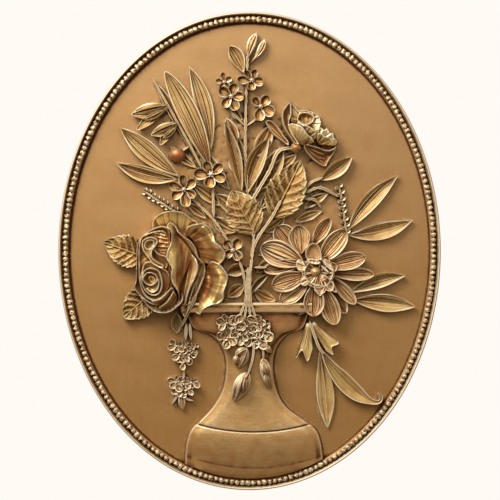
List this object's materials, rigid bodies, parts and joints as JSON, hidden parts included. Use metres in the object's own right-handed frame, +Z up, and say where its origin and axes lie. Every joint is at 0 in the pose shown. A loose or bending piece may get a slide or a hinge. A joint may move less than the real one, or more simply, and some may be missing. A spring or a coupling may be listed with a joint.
{
  "type": "wall sculpture",
  "caption": "Oval wall plaque with a beaded rim and, in relief, a bouquet of flowers in a footed vase; flat back with a keyhole slot.",
  "frame": {"origin": "middle of the flat back face, in the plane of the wall", "axes": "+X to the right as the viewer sees it, +Z up, +Y into the wall, so the relief faces -Y"},
  "size_m": [0.24, 0.032, 0.3],
  "materials": {
    "antique_bronze": "cold-cast bronze resin, satin antique gold with dark wash in the hollows"
  },
  "bodies": {
    "root": {"relief_plaque": "antique_bronze"}
  },
  "joints": []
}
